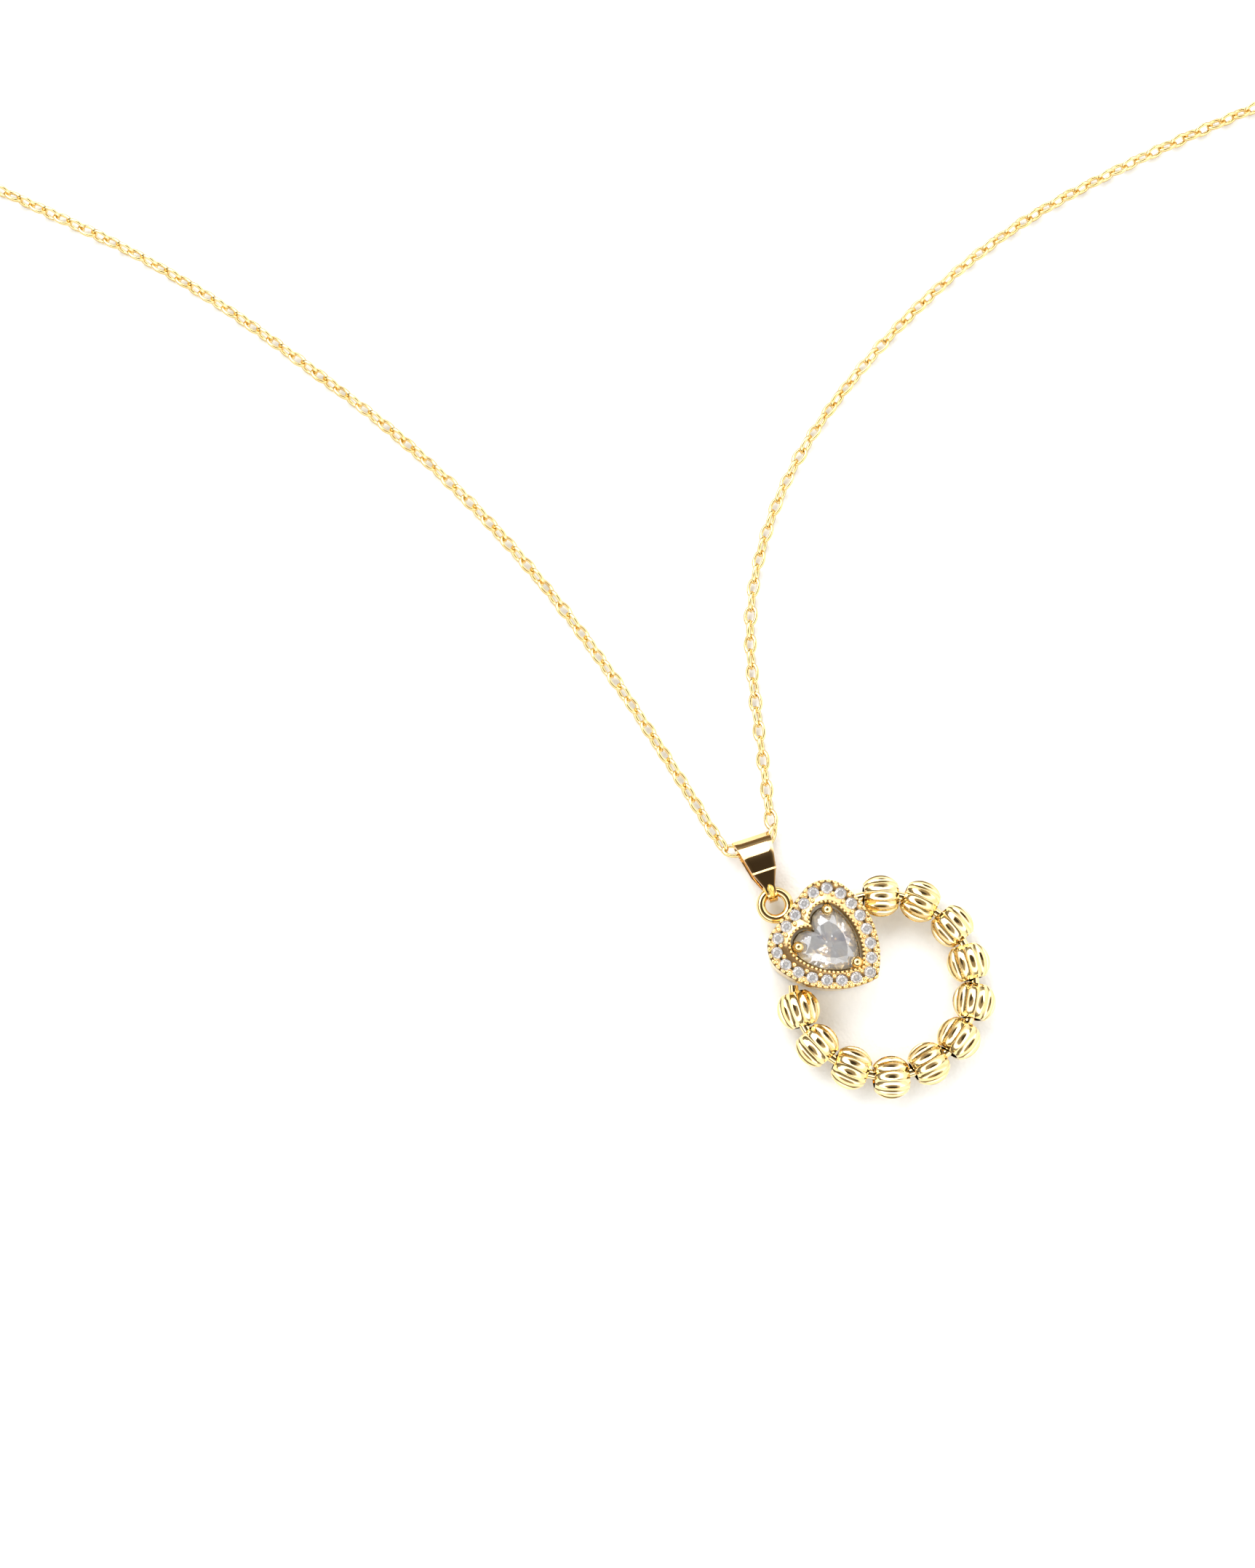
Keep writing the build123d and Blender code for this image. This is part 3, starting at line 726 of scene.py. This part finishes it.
def halo_channel():
    """The halo's top: a bright-cut channel between two raised rims, with a round seat cut for each stone; its
    gold is darkened as painted shade.
    """
    outer_lobe, outer_tip = grown(HALO_LOBE, HALO_TIP, HALO_EDGE)
    count = 288
    outside = heart_line(outer_lobe, outer_tip, False, count)[0]
    inside = heart_line(WINDOW_LOBE, WINDOW_TIP, True, count)[0]
    shape = bmesh.new()
    rows = []
    for outer, inner in zip(outside, inside):
        row = []
        for share, height in CHANNEL_SECTION:
            along = outer[0] + (inner[0] - outer[0]) * share
            off = outer[1] + (inner[1] - outer[1]) * share
            row.append(shape.verts.new(heart_point(min(along, HALO_BLUNT), off, height)))
        rows.append(row)
    for row, after in zip(rows, rows[1:] + rows[:1]):
        for j in range(len(row)):
            k = (j + 1) % len(row)
            shape.faces.new((row[j], after[j], after[k], row[k]))
    bmesh.ops.recalc_face_normals(shape, faces=shape.faces)
    channel = mesh_piece("halo_channel", shape, finish("shaded channel gold"))
    cutters = bmesh.new()
    pitch = heart_line(HALO_LOBE, HALO_TIP, False, 2)[1] / STONE_COUNT
    seat = settings("necklace_halo").stone / 2 + SEAT_ROOM * MM
    for spot in along_heart(HALO_LOBE, HALO_TIP, pitch, PLATE_TOP)[0]:
        place = Matrix.Translation(spot)
        bmesh.ops.create_cone(
            cutters, cap_ends=True, segments=32, radius1=seat, radius2=seat, depth=1.0 * MM, matrix=place
        )
    tools = mesh_piece("seat cutters", cutters, finish("shaded channel gold"))
    cut = channel.modifiers.new("seats", "BOOLEAN")
    cut.operation = "DIFFERENCE"
    cut.solver = "MANIFOLD"
    cut.object = tools
    seen = channel.evaluated_get(bpy.context.evaluated_depsgraph_get())
    mesh = bpy.data.meshes.new_from_object(seen)
    mesh.set_sharp_from_angle(angle=radians(32))
    mesh.materials.clear()
    mesh.materials.append(finish("shaded channel gold"))
    discard(channel)
    discard(tools)
    return link("halo_channel", mesh)


class NECKLACE_OT_halo(bpy.types.Operator):
    """Cuts the halo's channel, its beaded edges and the small grains that hold its stones"""

    bl_idname = "necklace.halo"
    bl_label = "Halo channel, edges and grains"

    def execute(self, context):
        sizes = settings("necklace_halo")
        gold = finish("halo gold")
        channel = halo_channel()
        rim_lobe, rim_tip = grown(HALO_LOBE, HALO_TIP, RIM_LINE)
        spots, turns = along_heart(rim_lobe, rim_tip, sizes.rim_pitch / MM, RIM_TOP)
        rim = grains("rim_grains", spots, turns, sizes.rim_grain * 1.15, sizes.rim_grain * 0.62, gold)
        edge_lobe, edge_tip = grown(WINDOW_LOBE, WINDOW_TIP, WINDOW_LINE)
        spots, turns = along_heart(edge_lobe, edge_tip, sizes.window_pitch / MM, RIM_TOP, notched=True)
        window = grains("window_grains", spots, turns, sizes.window_grain, sizes.window_grain, gold)
        pitch = heart_line(HALO_LOBE, HALO_TIP, False, 2)[1] / STONE_COUNT
        spots = []
        turns = []
        for aside in (-PRONG_ASIDE, PRONG_ASIDE):
            more = along_heart(HALO_LOBE, HALO_TIP, pitch, PLATE_TOP + PRONG_RISE, 0.5, aside)
            spots += more[0]
            turns += more[1]
        prongs = grains("stone_prongs", spots, turns, sizes.prong, sizes.prong, gold)
        for piece in (channel, rim, window, prongs):
            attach(piece, "pendant")
        return {"FINISHED"}


def brilliant(name, size):
    """A round stone of the usual cut, as the hull of its facets' corners; size is its girdle diameter."""
    shape = bmesh.new()
    radius = size / 2
    scale = size / BRILLIANT_GIRDLE
    for count, share, height, shift in BRILLIANT_RINGS:
        for i in range(count):
            angle = tau * (i + shift) / count
            shape.verts.new((radius * share * cos(angle), radius * share * sin(angle), height * scale))
    shape.verts.new((0, 0, BRILLIANT_POINT * scale))
    bmesh.ops.convex_hull(shape, input=shape.verts)
    bmesh.ops.dissolve_limit(shape, angle_limit=radians(1), verts=shape.verts, edges=shape.edges)
    return mesh_piece(name, shape, finish("clear stone"), smooth=False)


class NECKLACE_OT_small_stones(bpy.types.Operator):
    """Cuts a small brilliant for each seat of the halo"""

    bl_idname = "necklace.small_stones"
    bl_label = "Small stones"

    def execute(self, context):
        cut = brilliant("small stone", settings("necklace_halo").stone)
        shape = Shape("small stones", takes_geometry=True)
        seen = shape.node("GeometryNodeObjectInfo", {"Object": cut}, transform_space="ORIGINAL")
        pitch = heart_line(HALO_LOBE, HALO_TIP, False, 2)[1] / STONE_COUNT
        spots, turns = along_heart(HALO_LOBE, HALO_TIP, pitch, PLATE_TOP)
        turns = [turn + 0.7 * i for i, turn in enumerate(turns)]
        stones = set_on("small_stones", spots, turns, shape, seen.outputs["Geometry"], finish("clear stone"))
        discard(cut)
        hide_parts(*(f"halo_stone_{i + 1:02d}" for i in range(STONE_COUNT)))
        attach(stones, "pendant")
        return {"FINISHED"}


def heart_ring(shape, count, shift, share, height):
    """Corners of one level of the heart stone, drawn in towards its middle."""
    fine = heart_line(STONE_LOBE, STONE_TIP, True, 4 * count)[0]
    corners = []
    for i in range(count):
        along, off = fine[round(4 * (i + shift)) % len(fine)]
        spot = heart_point(STONE_MIDDLE + (along - STONE_MIDDLE) * share, off * share, height)
        corners.append(shape.verts.new(spot))
    return corners


def cut_facets(shape, edge, middle, inner, flip):
    """Star, kite and girdle facets between the edge's corners and a flat inner ring."""
    count = len(inner)
    for i in range(count):
        after = (i + 1) % count
        near = edge[2 * i]
        half = edge[2 * i + 1]
        far = edge[(2 * i + 2) % len(edge)]
        facets = (
            (inner[i], inner[after], middle[i]),
            (inner[i], middle[i], near),
            (inner[after], far, middle[i]),
            (middle[i], half, near),
            (middle[i], far, half),
        )
        for facet in facets:
            shape.faces.new(facet[::-1] if flip else facet)
    shape.faces.new(inner if flip else inner[::-1])


class NECKLACE_OT_heart_stone(bpy.types.Operator):
    """Cuts the heart-shaped stone"""

    bl_idname = "necklace.heart_stone"
    bl_label = "Heart stone"

    def execute(self, context):
        shape = bmesh.new()
        count = STONE_FACETS
        top = heart_ring(shape, 2 * count, 0.0, *GIRDLE_TOP)
        under = heart_ring(shape, 2 * count, 0.0, *GIRDLE_FOOT)
        crown = heart_ring(shape, count, 0.5, *CROWN_MIDDLE)
        table = heart_ring(shape, count, 0.0, *TABLE)
        pavilion = heart_ring(shape, count, 0.5, *PAVILION_MIDDLE)
        keel = heart_ring(shape, count, 0.0, *KEEL)
        cut_facets(shape, top, crown, table, False)
        cut_facets(shape, under, pavilion, keel, True)
        for i in range(2 * count):
            after = (i + 1) % (2 * count)
            shape.faces.new((top[i], under[i], under[after], top[after]))
        bmesh.ops.recalc_face_normals(shape, faces=shape.faces)
        stone = mesh_piece("cut_heart_stone", shape, finish("clear stone"), smooth=False)
        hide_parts("heart_stone")
        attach(stone, "pendant")
        return {"FINISHED"}


def bail_outline(count, step):
    """The bail's side view as a taut band round its three circles: along, height, in millimetres."""
    outline = []
    for i in range(count):
        angle = tau * i / count
        facing = (cos(angle), sin(angle))
        best = max(BAIL_CIRCLES, key=lambda c: c[0] * facing[0] + c[1] * facing[1] + c[2])
        outline.append(Vector((best[0] + best[2] * facing[0], best[1] + best[2] * facing[1])))
    fine = []
    for start, end in zip(outline, outline[1:] + outline[:1]):
        pieces = max(1, ceil((end - start).length / step))
        fine += [start.lerp(end, i / pieces) for i in range(pieces)]
    for spot in fine:
        above = max(spot.y / BAIL_CIRCLES[0][1] - 1.0, 0.0)
        crown = BAIL_CROWN * above * max(BAIL_CROWN_END - spot.x, 0.0) ** 2
        crease = CREASE_RISE * exp(-(((spot.x - CREASE_ALONG) / CREASE_SPREAD) ** 2)) if above else 0.0
        spot.y += crease - crown
    return fine


def bail_width(along):
    """Half of the bail's width at a distance from the chain's line."""
    for (start, wide), (end, narrow) in zip(BAIL_WIDTHS, BAIL_WIDTHS[1:]):
        if along <= end:
            return wide + (narrow - wide) * (along - start) / (end - start)
    return BAIL_WIDTHS[-1][1]


def bail_point(along, aside, height):
    return BAIL_START + BAIL_DOWN * along * MM + BAIL_ACROSS * aside * MM + Vector((0, 0, height * MM))


class NECKLACE_OT_bail(bpy.types.Operator):
    """Folds the tapered strip of the bail and lays the solder on its foot"""

    bl_idname = "necklace.bail"
    bl_label = "Bail"

    def execute(self, context):
        shape = bmesh.new()
        columns = 6
        rows = []
        for along, height in bail_outline(96, 0.03):
            half = bail_width(along)
            row = [bail_point(along, half * (2 * j / columns - 1), height) for j in range(columns + 1)]
            rows.append([shape.verts.new(spot) for spot in row])
        for row, after in zip(rows, rows[1:] + rows[:1]):
            for j in range(columns):
                shape.faces.new((row[j], after[j], after[j + 1], row[j + 1]))
        bmesh.ops.recalc_face_normals(shape, faces=shape.faces)
        strip = mesh_piece("bail_strip", shape, finish("bail gold"))
        wall = strip.modifiers.new("wall", "SOLIDIFY")
        wall.thickness = BAIL_STRIP * MM
        wall.offset = -1.0
        wall.use_even_offset = True
        round_edge = strip.modifiers.new("edge", "BEVEL")
        round_edge.width = 0.05 * MM
        round_edge.segments = 2
        round_edge.angle_limit = radians(50)
        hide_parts("bail")
        drop = bmesh.new()
        bmesh.ops.create_icosphere(drop, subdivisions=5, radius=1.0)
        for vertex in drop.verts:
            way = vertex.co.copy()
            narrow = 1.0 - 0.35 * max(way.x, 0.0)
            lump = 1.0 + 0.05 * noise.noise(way * 2.3) + 0.025 * noise.noise(way * 7.0)
            reach = SOLDER_REACH * way * lump
            vertex.co = bail_point(SOLDER_ALONG + reach.x, narrow * reach.y, SOLDER_HEIGHT + reach.z)
        bmesh.ops.recalc_face_normals(drop, faces=drop.faces)
        foot = mesh_piece("bail_solder", drop, finish("raw solder"))
        for piece in (strip, foot):
            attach(piece, "bail")
        return {"FINISHED"}


class NECKLACE_OT_metalwork(bpy.types.Operator):
    """Plates the frame, the setting, the ring's wire, the clasp and its rings"""

    bl_idname = "necklace.metalwork"
    bl_label = "Metalwork"

    def execute(self, context):
        for node in ("heart_frame", "heart_setting"):
            repaint(node, "halo gold")
        repaint("bead_wire", "bead gold")
        for node in ("clasp_ring", "end_ring", "end_link"):
            repaint(node, "chain gold")
        for node in ("clasp_body", "clasp_lever", "clasp_pin"):
            repaint(node, "clasp gold")
        repaint("clasp_spring", "spring steel")
        return {"FINISHED"}


def area_light(name, spot, target, size, power):
    """A white rectangular lamp that faces its target."""
    data = bpy.data.lights.new(name, "AREA")
    data.shape = "RECTANGLE"
    data.size, data.size_y = size
    data.energy = power
    lamp = link(name, data)
    facing = (Vector(target) - Vector(spot)).to_track_quat("-Z", "Y")
    lamp.matrix_world = Matrix.Translation(spot) @ facing.to_matrix().to_4x4()
    return lamp


class NECKLACE_OT_stage(bpy.types.Operator):
    """Lays the pale leather floor and sets the soft lights round it"""

    bl_idname = "necklace.stage"
    bl_label = "Floor and lights"

    def execute(self, context):
        sizes = settings("necklace_stage")
        half = sizes.floor_size / 2
        shape = bmesh.new()
        bmesh.ops.create_grid(shape, x_segments=4, y_segments=4, size=half)
        floor = mesh_piece("floor", shape, leather("pale leather", sizes.floor))

        world = bpy.data.worlds.new("studio")
        context.scene.world = world
        world.use_nodes = True
        sky = Tree(world.node_tree)
        facing = sky.node("ShaderNodeTexCoord").outputs["Generated"]
        up = sky.node("ShaderNodeSeparateXYZ", {0: facing})
        lamps = sky.ramp(
            up.outputs[2],
            (0.00, (0.075, 0.062, 0.044)),
            (0.17, (0.060, 0.048, 0.032)),
            (0.24, (0.10, 0.095, 0.08)),
            (0.44, (0.15, 0.14, 0.13)),
            (0.52, 1.0),
            (0.76, 1.0),
            (0.84, (0.16, 0.14, 0.12)),
            (1.0, (0.12, 0.10, 0.08)),
        )
        right = sky.ramp(up.outputs[0], (0.35, 0.0), (0.75, 1.0))
        lamps = sky.mix(sky.math("MULTIPLY", right, 0.6), lamps, (0.7, 0.7, 0.7))
        overhead = sky.node("ShaderNodeVectorMath", {0: facing, 1: DARK_WAY}, operation="DOT_PRODUCT")
        cap = sky.ramp(overhead.outputs["Value"], (0.0, 1.0), (0.925, 1.0), (0.955, 0.24), (1.0, 0.14))
        walls = sky.mix(1.0, lamps, cap, blend="MULTIPLY")
        background = world.node_tree.nodes["Background"]
        sky.tree.links.new(walls, background.inputs["Color"])
        background.inputs["Strength"].default_value = STUDIO_STRENGTH
        area_light("window", WINDOW_SPOT, WINDOW_AIM, WINDOW_SIZE, WINDOW_POWER)
        context.scene.view_settings.view_transform = "Standard"
        return {"FINISHED"}


class NECKLACE_PT_panel(bpy.types.Panel):
    """Lists the pieces of the necklace and their sizes"""

    bl_idname = "NECKLACE_PT_panel"
    bl_label = "Necklace"
    bl_space_type = "VIEW_3D"
    bl_region_type = "UI"
    bl_category = "Necklace"

    def draw(self, context):
        for operator in OPERATORS:
            self.layout.operator(operator.bl_idname)
        for name, group in GROUPS.items():
            box = self.layout.box()
            for key in group.__annotations__:
                box.prop(settings(name), key)


OPERATORS = (
    NECKLACE_OT_camera,
    NECKLACE_OT_chain,
    NECKLACE_OT_beads,
    NECKLACE_OT_halo,
    NECKLACE_OT_small_stones,
    NECKLACE_OT_heart_stone,
    NECKLACE_OT_bail,
    NECKLACE_OT_metalwork,
    NECKLACE_OT_stage,
)


def register():
    for group in (*GROUPS.values(), *OPERATORS, NECKLACE_PT_panel):
        bpy.utils.register_class(group)
    for name, group in GROUPS.items():
        setattr(bpy.types.Scene, name, bpy.props.PointerProperty(type=group))


def unregister():
    for name in GROUPS:
        delattr(bpy.types.Scene, name)
    for group in (NECKLACE_PT_panel, *reversed(OPERATORS), *GROUPS.values()):
        bpy.utils.unregister_class(group)


def corners(box):
    """A box's two corners as plain lists of numbers."""
    return [[float(value) for value in corner] for corner in box]


def main():
    register()
    bpy.ops.necklace.camera()
    bpy.ops.necklace.chain()
    bpy.ops.necklace.beads()
    bpy.ops.necklace.halo()
    bpy.ops.necklace.small_stones()
    bpy.ops.necklace.heart_stone()
    bpy.ops.necklace.bail()
    bpy.ops.necklace.metalwork()
    bpy.ops.necklace.stage()


if __name__ == "__main__":
    main()
